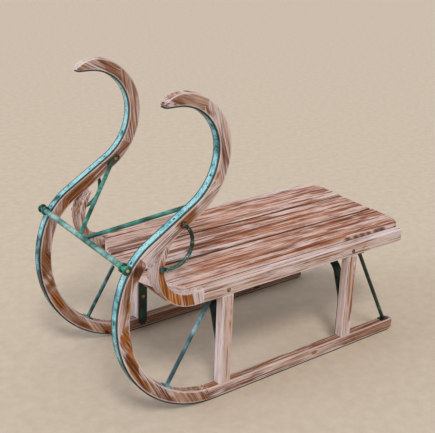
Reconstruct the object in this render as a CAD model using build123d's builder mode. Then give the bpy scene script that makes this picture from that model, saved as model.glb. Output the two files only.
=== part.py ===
from build123d import *
from math import atan2, cos, degrees, radians, sin
import os

os.makedirs("parts", exist_ok=True)

# A wooden sleigh with a plank seat, bowed runners ending in swan-neck hooks, and painted iron fittings.
# Millimetres. +X is the front, +Y the sleigh's left, +Z up, and Z = 0 is the floor under the runners.

# Overall layout
half_width = 184.0
runner_width = 22.0
runner_depth = 27.0
runner_rear = -386.0
strap_thickness = 3.0
strap_width = 20.0
edge_chamfer = 1.0

# Runner side line, where the wood meets the strap: straight base, bow, neck and hook
bow_centre_x = 168.0
bow_radius = 243.0
bow_rise_angle = 19.5
waist_radius = 148.0
waist_angle = 38.5
neck_straight = 115.0
neck_radius = 125.0
hook_radius = 101.0
hook_tight_radius = 71.0
hook_reach = 28.0
beak_end = 6.0

# Side rails with their front curls
rail_width = 40.0
rail_depth = 31.0
rail_bottom = 245.0
curl_start_x = 230.0
curl_outer_radius = 91.0
curl_inner_lead = 10.5
curl_inner_radius = 66.0
curl_inner_angle = 110.0
curl_inner_run = 58.0

# Seat boards, lying in the rabbets of the rails
board_thickness = 18.0
board_proud = 6.0
board_gap = 3.0
board_edge_inset = 21.0
rabbet_clearance = 1.0
board_rear = -414.0
board_middle_rear = -411.0
seat_nose_x = 301.0
seat_nose_radius = 252.0
seat_corner_radius = 45.0
board_edge_round = 4.0
rabbet_front = 257.0

# Posts with stub tenons
post_length = 29.0
post_front_x = 145.0
post_rear_x = -221.0
tenon_length = 18.0
tenon_width = 9.0
tenon_rail = 22.0
tenon_runner = 12.0
tenon_clearance = 0.2

# Battens under the boards, the front one ahead of the post
batten_width = 38.0
batten_thickness = 14.0
batten_front_x = 258.0

# Cross irons: flat bars down the posts and runners, leaning in and then bent across under the battens
iron_width = 22.0
iron_thickness = 5.0
iron_foot = 12.0
iron_bend_start = 115.0
iron_bend_radius = 60.0
iron_lean_angle = 19.0
iron_lean_run = 56.0
iron_elbow_radius = 30.0
iron_slant_angle = 52.0
iron_shoulder_radius = 40.0

# Crossbar with its collars and saddles
bar_radius = 6.0
bar_overhang = 4.0
bar_standoff = 8.0
bar_angle = 33.5
collar_radius = 10.0
collar_thickness = 5.0
groove_inset = 7.0
groove_width = 11.0
saddle_width = 6.0

# Neck braces and stays, all from one size of rod
rod_radius = 4.5
weld_bite = 1.0
brace_start_y = 9.0
brace_angle = 6.0
brace_clearance = 1.5
paddle_length = 34.0
paddle_reach = 13.0
paddle_width = 15.0
paddle_thickness = 4.0
stay_pad_length = 22.0
stay_pad_width = 16.0
stay_pad_thickness = 3.0
stay_front_lead = 39.0
stay_front_foot_angle = -55.2
stay_rear_lag = 30.0
stay_rear_inset = 23.0

# Ring scrolls between neck and curl
ring_radius = 47.0
ring_rod_radius = 4.5
ring_rod_gap = 0.5
ring_sides = 8
ring_along_neck = 76.0
ring_top_angle = 126.0
ring_tail = 21.0
ring_eye_radius = 6.5
ring_eye_thickness = 4.0
ring_weld = 1.2

# Bolts
bolt_radius = 2.5
bolt_head_radius = 5.0
bolt_head_height = 2.6
bolt_clearance = 0.15
rail_bolt_rise = 12.0
rail_bolt_reach = 30.0
leg_bolt_z = 90.0
leg_bolt_reach = 20.0
brace_bolt_reach = 18.0
ring_bolt_reach = 16.0

# Derived places
base_top = strap_thickness + runner_depth
bow_centre_z = strap_thickness + bow_radius
bow_inside = bow_radius - runner_depth
runner_mid = half_width - runner_width / 2
runner_inner = half_width - runner_width
rail_mid = half_width - rail_width / 2
rail_inner = half_width - rail_width
rail_top = rail_bottom + rail_depth
curl_inner_start_x = curl_start_x + curl_inner_lead
board_edge = half_width - board_edge_inset
rabbet_wall = board_edge + rabbet_clearance
board_top = rail_top + board_proud
board_bottom = board_top - board_thickness
board_width = (2 * board_edge - 2 * board_gap) / 3
post_x = {"front": post_front_x, "rear": post_rear_x}
batten_x = {"front": batten_front_x, "middle": post_front_x, "rear": post_rear_x}
neck_turn = bow_rise_angle + waist_angle
waist_x = bow_centre_x + (bow_radius - waist_radius) * cos(radians(bow_rise_angle))
waist_z = bow_centre_z + (bow_radius - waist_radius) * sin(radians(bow_rise_angle))
bar_from_waist = waist_radius + strap_thickness + bar_standoff
bar_x = waist_x + bar_from_waist * cos(radians(bar_angle))
bar_z = waist_z + bar_from_waist * sin(radians(bar_angle))
bar_half_length = half_width + bar_overhang
groove_y = half_width - groove_inset
collar_step = (groove_width + collar_thickness) / 2
stay_front_x = post_front_x + stay_front_lead
stay_rear_x = post_rear_x - stay_rear_lag
stay_rear_foot_x = runner_rear + stay_rear_inset
ring_seat = half_width + ring_eye_thickness
leg_seat = runner_inner - iron_thickness
brace_seat = runner_inner - paddle_thickness
sides = {"left": 1, "right": -1}

# Each step is (length, 0) for a straight run or (radius, turn in degrees) for an arc tangent to the last.
runner_steps = [
    (bow_centre_x - runner_rear, 0),
    (bow_radius, 90.0 + bow_rise_angle),
    (waist_radius, waist_angle),
    (neck_straight, 0),
    (neck_radius, -neck_turn),
]
hook_inner_steps = [(hook_radius, -90.0), (hook_reach, 0)]
hook_outer_steps = [(hook_radius, -60.0), (hook_tight_radius, -30.0)]


def follow(start, heading, steps, offset=0.0):
    """Draw a chain of tangent lines and arcs, shifted to its left by offset, and return its end."""
    left = Vector(-sin(radians(heading)), cos(radians(heading)))
    point = Vector(*start) + left * offset
    for size, turn in steps:
        direction = Vector(cos(radians(heading)), sin(radians(heading)))
        if turn == 0:
            edge = Line(point, point + direction * size)
        elif turn > 0:
            edge = JernArc(start=point, tangent=direction, radius=size - offset, arc_size=turn)
        else:
            edge = JernArc(start=point, tangent=direction, radius=size + offset, arc_size=turn)
        point = edge @ 1
        heading = heading + turn
    return point


def side_plane(y):
    """A plane seen from the side, local x along X and local y along Z, placed at height y along Y."""
    return Plane.XZ.offset(-y)


def cut_bolt_holes(sign, names):
    """Cut clearance holes for the named bolts of one side from the part being built."""
    for name in names:
        row = bolts[name]
        with BuildSketch(side_plane(sign * row["seat"])) as hole:
            with Locations((row["x"], row["z"])):
                Circle(bolt_radius + bolt_clearance)
        depth = sign * row["inward"] * (row["reach"] + bolt_clearance)
        extrude(to_extrude=hole.sketch, amount=depth, mode=Mode.SUBTRACT)


rear_corner = (runner_rear, strap_thickness)
neck_middle = runner_depth / 2
brace_end = follow(rear_corner, 0, runner_steps[:4] + [(neck_radius, -brace_angle)], neck_middle)
ring_top = follow(rear_corner, 0, runner_steps[:3] + [(ring_along_neck, 0)], neck_middle)
ring_x = ring_top.X - ring_radius * cos(radians(ring_top_angle))
ring_z = ring_top.Y - ring_radius * sin(radians(ring_top_angle))
ring_low = Vector(ring_x + ring_tail, ring_z - ring_radius)

# Bolts on each side: place, distance of the head's seat from the centre plane, shank length,
# and whether the shank points inward (1) or outward (-1)
rail_bolt_z = rail_bottom + rail_bolt_rise
bolt_columns = ("x", "z", "seat", "reach", "inward")
bolts = {
    "rail_bolt_front": (post_front_x, rail_bolt_z, half_width, rail_bolt_reach, 1),
    "rail_bolt_rear": (post_rear_x, rail_bolt_z, half_width, rail_bolt_reach, 1),
    "leg_bolt_front": (post_front_x, leg_bolt_z, leg_seat, leg_bolt_reach, -1),
    "leg_bolt_rear": (post_rear_x, leg_bolt_z, leg_seat, leg_bolt_reach, -1),
    "brace_bolt": (brace_end.X, brace_end.Y, brace_seat, brace_bolt_reach, -1),
    "ring_bolt_top": (ring_top.X, ring_top.Y, ring_seat, ring_bolt_reach, 1),
    "ring_bolt_low": (ring_low.X, ring_low.Y, ring_seat, ring_bolt_reach, 1),
}
bolts = {name: dict(zip(bolt_columns, row)) for name, row in bolts.items()}

for side, sign in sides.items():
    # Runner: one long bent timber from the square rear end to the beak of the hook
    with BuildPart() as runner:
        with BuildSketch(side_plane(sign * runner_mid)):
            with BuildLine():
                inner = follow(rear_corner, 0, runner_steps + hook_inner_steps)
                outer = follow(rear_corner, 0, runner_steps + hook_outer_steps, runner_depth)
                beak = Vector(inner.X, inner.Y + beak_end)
                TangentArc(outer, beak, tangent=(1, 0))
                Line(beak, inner)
                Line(rear_corner, (runner_rear, base_top))
            make_face()
        extrude(amount=runner_width / 2, both=True)
        for place in post_x.values():
            with BuildSketch(Plane.XY.offset(base_top)):
                with Locations((place, sign * runner_mid)):
                    Rectangle(tenon_length + 2 * tenon_clearance, tenon_width + 2 * tenon_clearance)
            extrude(amount=-tenon_runner - tenon_clearance, mode=Mode.SUBTRACT)
        cut_bolt_holes(sign, ["brace_bolt", "ring_bolt_top"])
    runner.part.label = "runner_" + side
    export_step(runner.part, "parts/runner_" + side + ".step")

    # Strap: flat iron under the runner, up the bow, along the hollow of the neck and over the tip
    with BuildPart() as strap:
        with BuildSketch(side_plane(sign * runner_mid)):
            with BuildLine():
                tip = follow(rear_corner, 0, runner_steps + hook_inner_steps)
                under = follow(rear_corner, 0, runner_steps + hook_inner_steps, -strap_thickness)
                lip = Vector(under.X + strap_thickness, under.Y)
                Line(under, lip)
                Line(lip, (lip.X, tip.Y + beak_end))
                Line((lip.X, tip.Y + beak_end), (tip.X, tip.Y + beak_end))
                Line((tip.X, tip.Y + beak_end), tip)
                Line(rear_corner, (runner_rear, 0))
            make_face()
        extrude(amount=strap_width / 2, both=True)
    strap.part.label = "runner_strap_" + side
    export_step(strap.part, "parts/runner_strap_" + side + ".step")

    # Rail: a beam under the seat's edge whose front curls up to the back of the neck
    with BuildPart() as rail:
        with BuildSketch(side_plane(sign * rail_mid)):
            with BuildLine():
                low = follow(
                    (runner_rear, rail_bottom),
                    0,
                    [(curl_start_x - runner_rear, 0), (curl_outer_radius, 135.0)],
                )
                high = follow(
                    (runner_rear, rail_top),
                    0,
                    [
                        (curl_inner_start_x - runner_rear, 0),
                        (curl_inner_radius, curl_inner_angle),
                        (curl_inner_run, 0),
                    ],
                )
                Line(low, high)
                Line((runner_rear, rail_bottom), (runner_rear, rail_top))
            make_face()
        extrude(amount=rail_width / 2, both=True)
        with BuildSketch(side_plane(sign * rail_mid)):
            with BuildLine():
                back = follow(rear_corner, 0, runner_steps, runner_depth)
                front = follow(rear_corner, 0, runner_steps, -neck_radius / 2)
                Line(back, front)
                Line(
                    (runner_rear, base_top),
                    (runner_rear, strap_thickness - neck_radius / 2),
                )
            make_face()
        extrude(amount=rail_width, both=True, mode=Mode.SUBTRACT)
        with BuildSketch(Plane.XY.offset(board_bottom)):
            with Locations(((runner_rear + rabbet_front) / 2, sign * (rail_inner + rabbet_wall) / 2)):
                Rectangle(rabbet_front - runner_rear, rabbet_wall - rail_inner)
        extrude(amount=board_thickness, mode=Mode.SUBTRACT)
        for place in post_x.values():
            with BuildSketch(Plane.XY.offset(rail_bottom)):
                with Locations((place, sign * runner_mid)):
                    Rectangle(tenon_length + 2 * tenon_clearance, tenon_width + 2 * tenon_clearance)
            extrude(amount=tenon_rail + tenon_clearance, mode=Mode.SUBTRACT)
        cut_bolt_holes(sign, ["rail_bolt_front", "rail_bolt_rear", "ring_bolt_low"])
    rail.part.label = "rail_" + side
    export_step(rail.part, "parts/rail_" + side + ".step")

    # Posts: square timbers with a stub tenon at each end
    for end, place in post_x.items():
        with BuildPart() as post:
            with BuildSketch(Plane.XY.offset(base_top)):
                with Locations((place, sign * runner_mid)):
                    Rectangle(post_length, runner_width)
            extrude(amount=rail_bottom - base_top)
            chamfer(post.edges().filter_by(Axis.Z), length=edge_chamfer)
            with BuildSketch(Plane.XY.offset(base_top - tenon_runner)):
                with Locations((place, sign * runner_mid)):
                    Rectangle(tenon_length, tenon_width)
            extrude(amount=rail_bottom - base_top + tenon_runner + tenon_rail)
            cut_bolt_holes(sign, ["rail_bolt_" + end, "leg_bolt_" + end])
        post.part.label = "post_" + end + "_" + side
        export_step(post.part, "parts/post_" + end + "_" + side + ".step")

    # Neck brace: a rod from the crossbar's middle to a bolted paddle on the neck's inner face
    brace_start = Vector(bar_x, sign * brace_start_y, bar_z)
    brace_slope = atan2(bar_z - brace_end.Y, bar_x - brace_end.X)
    brace_stop = Vector(
        brace_end.X + paddle_reach * cos(brace_slope),
        sign * (runner_inner - paddle_thickness - brace_clearance),
        brace_end.Y + paddle_reach * sin(brace_slope),
    )
    brace_line = brace_stop - brace_start
    with BuildPart() as brace:
        with BuildSketch(Plane(origin=brace_start, z_dir=brace_line)):
            Circle(rod_radius)
        extrude(amount=brace_line.length)
        with BuildSketch(side_plane(sign * (runner_inner - paddle_thickness / 2))):
            with Locations(Location((brace_end.X, brace_end.Y, 0), (0, 0, degrees(brace_slope)))):
                with Locations((paddle_reach / 2, 0)):
                    SlotOverall(paddle_length, paddle_width)
        extrude(amount=paddle_thickness / 2, both=True)
        with BuildSketch(Plane.XZ):
            with Locations((bar_x, bar_z)):
                Circle(bar_radius)
        extrude(amount=bar_half_length, both=True, mode=Mode.SUBTRACT)
        cut_bolt_holes(sign, ["brace_bolt"])
    brace.part.label = "neck_brace_" + side
    export_step(brace.part, "parts/neck_brace_" + side + ".step")

    # Front stay: a rod from under the rail to a curved pad on the inside of the bow
    stay_y = sign * runner_mid
    foot = Vector(
        bow_centre_x + (bow_inside - weld_bite) * cos(radians(stay_front_foot_angle)),
        stay_y,
        bow_centre_z + (bow_inside - weld_bite) * sin(radians(stay_front_foot_angle)),
    )
    head = Vector(stay_front_x, stay_y, rail_bottom - weld_bite)
    with BuildPart() as stay_front:
        with BuildSketch(Plane(origin=foot, z_dir=head - foot)):
            Circle(rod_radius)
        extrude(amount=(head - foot).length)
        with BuildSketch(side_plane(stay_y)):
            with Locations((bow_centre_x, bow_centre_z)):
                Circle(bow_inside)
                Circle(bow_inside - stay_pad_thickness, mode=Mode.SUBTRACT)
            with Locations(Location((foot.X, foot.Z, 0), (0, 0, stay_front_foot_angle))):
                Rectangle(4 * stay_pad_thickness, stay_pad_length, mode=Mode.INTERSECT)
        extrude(amount=stay_pad_width / 2, both=True)
        with BuildSketch(Plane.XY.offset(rail_bottom - stay_pad_thickness)):
            with Locations((stay_front_x, stay_y)):
                Rectangle(stay_pad_length, stay_pad_width)
        extrude(amount=stay_pad_thickness)
        with BuildSketch(side_plane(stay_y)):
            with Locations((bow_centre_x, bow_centre_z)):
                Circle(bow_inside + 4 * stay_pad_thickness)
                Circle(bow_inside, mode=Mode.SUBTRACT)
        extrude(amount=stay_pad_width, both=True, mode=Mode.SUBTRACT)
        with BuildSketch(Plane.XY.offset(rail_bottom)):
            with Locations((stay_front_x, stay_y)):
                Rectangle(2 * stay_pad_length, 2 * stay_pad_width)
        extrude(amount=2 * stay_pad_thickness, mode=Mode.SUBTRACT)
    stay_front.part.label = "stay_front_" + side
    export_step(stay_front.part, "parts/stay_front_" + side + ".step")

    # Rear stay: a rod from under the rail, behind the rear post, down to the runner's tail
    foot = Vector(stay_rear_foot_x, stay_y, base_top + weld_bite)
    head = Vector(stay_rear_x, stay_y, rail_bottom - weld_bite)
    with BuildPart() as stay_rear:
        with BuildSketch(Plane(origin=foot, z_dir=head - foot)):
            Circle(rod_radius)
        extrude(amount=(head - foot).length)
        with BuildSketch(Plane.XY.offset(base_top)):
            with Locations((stay_rear_foot_x, stay_y)):
                Rectangle(stay_pad_length, stay_pad_width)
        extrude(amount=stay_pad_thickness)
        with BuildSketch(Plane.XY.offset(rail_bottom - stay_pad_thickness)):
            with Locations((stay_rear_x, stay_y)):
                Rectangle(stay_pad_length, stay_pad_width)
        extrude(amount=stay_pad_thickness)
        with BuildSketch(Plane.XY.offset(rail_bottom)):
            with Locations((stay_rear_x, stay_y)):
                Rectangle(2 * stay_pad_length, 2 * stay_pad_width)
        extrude(amount=2 * stay_pad_thickness, mode=Mode.SUBTRACT)
        with BuildSketch(Plane.XY.offset(base_top)):
            with Locations((stay_rear_foot_x, stay_y)):
                Rectangle(2 * stay_pad_length, 2 * stay_pad_width)
        extrude(amount=-2 * stay_pad_thickness, mode=Mode.SUBTRACT)
    stay_rear.part.label = "stay_rear_" + side
    export_step(stay_rear.part, "parts/stay_rear_" + side + ".step")

    # Ring: a C-shaped iron, forged to eight sides, with a flat eye bolted to the neck and one to the curl
    ring_y = sign * (half_width + ring_rod_radius + ring_rod_gap)
    eye_angle = degrees((ring_eye_radius - ring_weld) / ring_radius)
    with BuildPart() as ring:
        with BuildSketch(Plane.YZ.offset(ring_x)) as section:
            with Locations((ring_y, ring_z - ring_radius)):
                RegularPolygon(ring_rod_radius, ring_sides, major_radius=False, rotation=180.0 / ring_sides)
        revolve(
            axis=Axis((ring_x, ring_y, ring_z), (0, 1, 0)),
            revolution_arc=270.0 - ring_top_angle - eye_angle,
        )
        extrude(to_extrude=section.sketch, amount=ring_tail - ring_eye_radius + ring_weld)
        with BuildSketch(side_plane(sign * (half_width + ring_eye_thickness / 2))):
            with Locations((ring_top.X, ring_top.Y), (ring_low.X, ring_low.Y)):
                Circle(ring_eye_radius)
        extrude(amount=ring_eye_thickness / 2, both=True)
        cut_bolt_holes(sign, ["ring_bolt_top", "ring_bolt_low"])
    ring.part.label = "ring_" + side
    export_step(ring.part, "parts/ring_" + side + ".step")

# Crossbar: a round bar with a pair of collars over each strap and a saddle welded between them
with BuildPart() as crossbar:
    with BuildSketch(Plane.XZ):
        with Locations((bar_x, bar_z)):
            Circle(bar_radius)
    extrude(amount=bar_half_length, both=True)
    for sign in sides.values():
        for step in (-collar_step, collar_step):
            with BuildSketch(side_plane(sign * groove_y + step)):
                with Locations((bar_x, bar_z)):
                    Circle(collar_radius)
            extrude(amount=collar_thickness / 2, both=True)
        with BuildSketch(side_plane(sign * groove_y)):
            with Locations(Location((bar_x, bar_z, 0), (0, 0, bar_angle))):
                Rectangle(2 * (bar_standoff + strap_thickness), saddle_width)
        extrude(amount=groove_width / 2, both=True)
    with BuildSketch(Plane.XZ):
        with Locations((waist_x, waist_z)):
            Circle(waist_radius + strap_thickness)
    extrude(amount=2 * bar_half_length, both=True, mode=Mode.SUBTRACT)
crossbar.part.label = "crossbar"
export_step(crossbar.part, "parts/crossbar.step")

# Cross irons: one flat bar each, down both sides and across under a batten
iron_mid = runner_inner - iron_thickness / 2
iron_top = board_bottom - batten_thickness - iron_thickness / 2
iron_rise = 90.0 - iron_slant_angle
iron_elbow_angle = iron_slant_angle - iron_lean_angle
iron_elbow = follow(
    (0, iron_foot),
    90,
    [
        (iron_bend_start - iron_foot, 0),
        (iron_bend_radius, iron_lean_angle),
        (iron_lean_run, 0),
        (iron_elbow_radius, iron_elbow_angle),
    ],
)
slant_rise = iron_top - iron_elbow.Y - iron_shoulder_radius * (1 - cos(radians(iron_rise)))
for end, place in post_x.items():
    with BuildPart() as iron:
        for sign in sides.values():
            with BuildSketch(Plane.YZ.offset(place)):
                with BuildLine():
                    steps = [
                        (iron_bend_start - iron_foot, 0),
                        (iron_bend_radius, sign * iron_lean_angle),
                        (iron_lean_run, 0),
                        (iron_elbow_radius, sign * iron_elbow_angle),
                        (slant_rise / sin(radians(iron_rise)), 0),
                        (iron_shoulder_radius, sign * iron_rise),
                    ]
                    half = iron_thickness / 2
                    foot = (sign * iron_mid, iron_foot)
                    one = follow(foot, 90, steps, half)
                    two = follow(foot, 90, steps, -half)
                    Line(one, (0, one.Y))
                    Line((0, one.Y), (0, two.Y))
                    Line((0, two.Y), two)
                    Line((sign * iron_mid - half, iron_foot), (sign * iron_mid + half, iron_foot))
                make_face()
            extrude(amount=iron_width / 2, both=True)
            cut_bolt_holes(sign, ["leg_bolt_" + end])
    iron.part.label = "cross_iron_" + end
    export_step(iron.part, "parts/cross_iron_" + end + ".step")

# Battens: cross timbers between the rails, under the boards
for end, place in batten_x.items():
    with BuildPart() as batten:
        with BuildSketch(Plane.XY.offset(board_bottom - batten_thickness)):
            with Locations((place, 0)):
                Rectangle(batten_width, 2 * rail_inner)
        extrude(amount=batten_thickness)
    batten.part.label = "batten_" + end
    export_step(batten.part, "parts/batten_" + end + ".step")

# Seat boards: three wide boards with a bowed, rounded front and rounded outer corners at the rear
seat_arc_x = seat_nose_x - seat_nose_radius
for name, column, rear in (
    ("left", 1, board_rear),
    ("middle", 0, board_middle_rear),
    ("right", -1, board_rear),
):
    with BuildPart() as board:
        with BuildSketch(Plane.XY.offset(board_bottom)) as outline:
            with Locations(((rear + seat_nose_x) / 2, column * (board_width + board_gap))):
                Rectangle(seat_nose_x - rear, board_width)
            with BuildSketch(mode=Mode.INTERSECT):
                with Locations((seat_arc_x, 0)):
                    Circle(seat_nose_radius)
                with Locations(((rear + seat_arc_x) / 2, 0)):
                    Rectangle(seat_arc_x - rear, 2 * seat_nose_radius)
            if column:
                corners = outline.vertices().group_by(Axis.X)[0]
                fillet(corners.sort_by(Axis.Y)[-1 if column > 0 else 0], radius=seat_corner_radius)
        extrude(amount=board_thickness)
        nose = board.edges().group_by(Axis.Z)[-1].filter_by(GeomType.CIRCLE).sort_by(Axis.X)[-1]
        fillet(nose, radius=board_edge_round)
    board.part.label = "seat_board_" + name
    export_step(board.part, "parts/seat_board_" + name + ".step")

# Bolts: six-sided heads with round shanks, seated on the face they clamp
for side, sign in sides.items():
    for name, row in bolts.items():
        inward = -sign * row["inward"]
        seat = sign * row["seat"]
        with BuildPart() as bolt:
            with BuildSketch(side_plane(seat)):
                with Locations((row["x"], row["z"])):
                    Circle(bolt_radius)
            extrude(amount=-inward * row["reach"])
            with BuildSketch(side_plane(seat)):
                with Locations((row["x"], row["z"])):
                    RegularPolygon(bolt_head_radius, 6)
            extrude(amount=inward * bolt_head_height)
        bolt.part.label = name + "_" + side
        export_step(bolt.part, "parts/" + name + "_" + side + ".step")
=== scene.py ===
from math import asin, atan2, cos, degrees, hypot, pi, radians, sin, sqrt

import bmesh
import bpy
from bmesh.types import BMEdge, BMVert
from mathutils import Matrix, Vector, noise


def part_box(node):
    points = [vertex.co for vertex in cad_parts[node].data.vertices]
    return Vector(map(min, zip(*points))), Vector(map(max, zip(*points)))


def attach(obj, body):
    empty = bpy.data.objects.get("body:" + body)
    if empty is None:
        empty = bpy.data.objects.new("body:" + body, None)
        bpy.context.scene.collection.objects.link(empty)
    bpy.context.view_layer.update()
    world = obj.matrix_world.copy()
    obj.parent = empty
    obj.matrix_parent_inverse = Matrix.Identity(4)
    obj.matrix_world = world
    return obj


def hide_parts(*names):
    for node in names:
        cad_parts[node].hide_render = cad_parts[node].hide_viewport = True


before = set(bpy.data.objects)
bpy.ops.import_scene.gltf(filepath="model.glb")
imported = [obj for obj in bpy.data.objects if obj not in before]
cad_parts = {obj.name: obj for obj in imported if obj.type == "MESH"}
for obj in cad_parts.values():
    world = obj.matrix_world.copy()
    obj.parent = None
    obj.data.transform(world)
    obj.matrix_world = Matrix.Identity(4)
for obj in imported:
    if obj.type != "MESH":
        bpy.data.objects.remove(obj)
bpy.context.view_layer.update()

# The sleigh's finishes and its dressed pieces. Metres; +X front, +Y left, +Z up, the floor at Z = 0.
studio = bpy.context.scene
sides = {"left": 1, "right": -1}

# Places read from the frame
runner_low, runner_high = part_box("runner_left")
strap_low, strap_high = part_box("runner_strap_left")
rail_low, rail_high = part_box("rail_left")
seat_low, seat_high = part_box("seat_board_left")
bar_low, bar_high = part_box("crossbar")
runner_mid = (runner_low.y + runner_high.y) / 2
runner_width = runner_high.y - runner_low.y
runner_face = runner_mid + runner_width / 2
rail_mid = (rail_low.y + rail_high.y) / 2
rail_width = rail_high.y - rail_low.y
strap_width = strap_high.y - strap_low.y

# The runner's side line: straight base, bow, waist, neck and hook
runner_depth = 0.027
runner_round = 0.0018
runner_spacing = 0.0055
strap_thickness = 0.003
strap_round = 0.0006
strap_spacing = 0.0022
strap_rim = 0.0027
bow_centre_x = 0.168
bow_radius = 0.243
bow_rise = 19.5
waist_radius = 0.148
waist_turn = 38.5
neck_straight = 0.115
neck_radius = 0.125
hook_radius = 0.101
hook_tight_radius = 0.071
hook_reach = 0.028
beak_end = 0.006
line_start = Vector((runner_low.x, 0, strap_thickness))
line_steps = [
    (bow_centre_x - runner_low.x, 0),
    (bow_radius, 90 + bow_rise),
    (waist_radius, waist_turn),
    (neck_straight, 0),
    (neck_radius, -bow_rise - waist_turn),
    (hook_radius, -60),
]
line_counts = [44, 40, 12, 10, 16, 14]

# The rail and its curl
rail_depth = 0.031
rail_bottom = rail_low.z
rail_top = rail_bottom + rail_depth
rail_round = 0.0016
rail_spacing = 0.006
rail_cuts = 46
curl_start_x = 0.230
curl_joint_x = 0.208
rabbet_front_x = 0.257
curl_radius = 0.091
curl_turn = 150
curl_cuts = 30
curl_inner_start_x = 0.2405
curl_inner_radius = 0.066
curl_inner_turn = 110
curl_inner_last_turn = 140
shelf_width = 0.020

# The seat's plan and its brushed relief
nose_radius = 0.252
nose_centre_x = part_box("seat_board_middle")[1].x - nose_radius
seat_corner = 0.045
board_columns = 150
board_rows = 110
board_round = 0.004
board_foot = 0.001
relief_depth = 0.0013
end_crowding = 0.35

# The irons
bar_radius = 0.006
bar_angle = 33.5
bar_round = 0.001
collar_radius = 0.010
collar_width = 0.005
collar_round = 0.0012
groove_y = 0.177
groove_width = 0.011
saddle_width = 0.006
saddle_reach = 0.018
saddle_shift = 0.0012
iron_thickness = 0.005
iron_round, iron_spacing = 0.0012, 0.004
iron_foot = 0.012
iron_bend_start = 0.115
iron_bend_radius = 0.060
iron_lean = 19
iron_lean_run = 0.056
iron_elbow_radius = 0.030
iron_elbow = 33
iron_shoulder = 0.040
ring_radius = 0.047
ring_rod = 0.0045
ring_gap = 0.0005
ring_wobble = 0.0003
strap_screws_at = (50, 60, 69, 90, 102, 115, 129)
sharp_from = 40

# A face looks some way when its normal's part that way is over this
looks = 0.7


def linear(hex_code):
    """A colour written as on screen, in the linear values that a shader takes."""
    values = [int(hex_code[i : i + 2], 16) / 255 for i in (1, 3, 5)]
    return tuple(v / 12.92 if v <= 0.04045 else ((v + 0.055) / 1.055) ** 2.4 for v in values) + (1.0,)


# Shader helpers
class Shader:
    """A material's or the studio's node tree, with short calls for its nodes. Colours are written as on screen."""

    def __init__(self, holder):
        holder.use_nodes = True
        self.holder, self.tree = holder, holder.node_tree
        self.tree.nodes.clear()

    def put(self, socket, value):
        if isinstance(value, bpy.types.NodeSocket):
            self.tree.links.new(value, socket)
        else:
            socket.default_value = linear(value) if isinstance(value, str) else value

    def node(self, kind, inputs=(), **settings):
        made = self.tree.nodes.new(kind)
        for name, value in settings.items():
            setattr(made, name, value)
        for name, value in dict(inputs).items():
            self.put(made.inputs[name], value)
        return made

    def attribute(self, name, output="Fac"):
        return self.node("ShaderNodeAttribute", attribute_name=name).outputs[output]

    def mapped(self, vector, scale, location=(0, 0, 0)):
        inputs = {"Vector": vector, "Scale": scale, "Location": location}
        return self.node("ShaderNodeMapping", inputs).outputs["Vector"]

    def noise(self, vector, scale=1.0, detail=3.0, roughness=0.55, distortion=0.0):
        inputs = {"Vector": vector, "Scale": scale, "Detail": detail, "Roughness": roughness}
        return self.node("ShaderNodeTexNoise", {**inputs, "Distortion": distortion}).outputs["Fac"]

    def rings(self, vector, scale, distortion):
        inputs = {"Vector": vector, "Scale": scale, "Distortion": distortion, "Detail": 2.0, "Detail Scale": 1.5}
        made = self.node("ShaderNodeTexWave", inputs, wave_type="RINGS", rings_direction="X", wave_profile="SAW")
        return made.outputs["Fac"]

    def math(self, operation, a, b):
        return self.node("ShaderNodeMath", {0: a, 1: b}, operation=operation).outputs["Value"]

    def times(self, a, b):
        return self.math("MULTIPLY", a, b)

    def blend(self, *parts):
        """The sum of values, each times its weight."""
        total = None
        for value, weight in parts:
            part = value if weight == 1 else self.times(value, weight)
            total = part if total is None else self.math("ADD", total, part)
        return total

    def between(self, value, low, high):
        """0 below low, 1 above high, smooth between."""
        inputs = {"Value": value, "From Min": low, "From Max": high}
        return self.node("ShaderNodeMapRange", inputs, interpolation_type="SMOOTHSTEP").outputs["Result"]

    def under(self, value, low, high):
        """1 below low, 0 above high, smooth between."""
        return self.math("SUBTRACT", 1.0, self.between(value, low, high))

    def mix(self, share, a, b):
        return self.node("ShaderNodeMix", {0: share, 6: a, 7: b}, data_type="RGBA").outputs[2]

    def ramp(self, share, stops):
        made = self.node("ShaderNodeValToRGB", {"Fac": share})
        elements = made.color_ramp.elements
        while len(elements) < len(stops):
            elements.new(0.5)
        for element, (position, colour) in zip(elements, stops.items()):
            element.position = position
            element.color = linear(colour)
        return made.outputs["Color"]

    def finish(self, colour, roughness, height, depth, metallic=0.0, specular=0.4):
        bump = self.node("ShaderNodeBump", {"Height": height, "Distance": depth, "Strength": 0.9})
        inputs = {"Base Color": colour, "Roughness": roughness, "Metallic": metallic, "Specular IOR Level": specular}
        surface = self.node("ShaderNodeBsdfPrincipled", {**inputs, "Normal": bump.outputs["Normal"]})
        self.node("ShaderNodeOutputMaterial", {"Surface": surface.outputs["BSDF"]})
        return self.holder


knot_bend = 0.006
knot_rim, knot_dark, knot_light = "#95531C", "#3B1B0C", "#A9805F"
dark_stain_and_shade, dark_olive = "#3A1B10", "#2C2A1E"
olive_fade = 0.010


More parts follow.
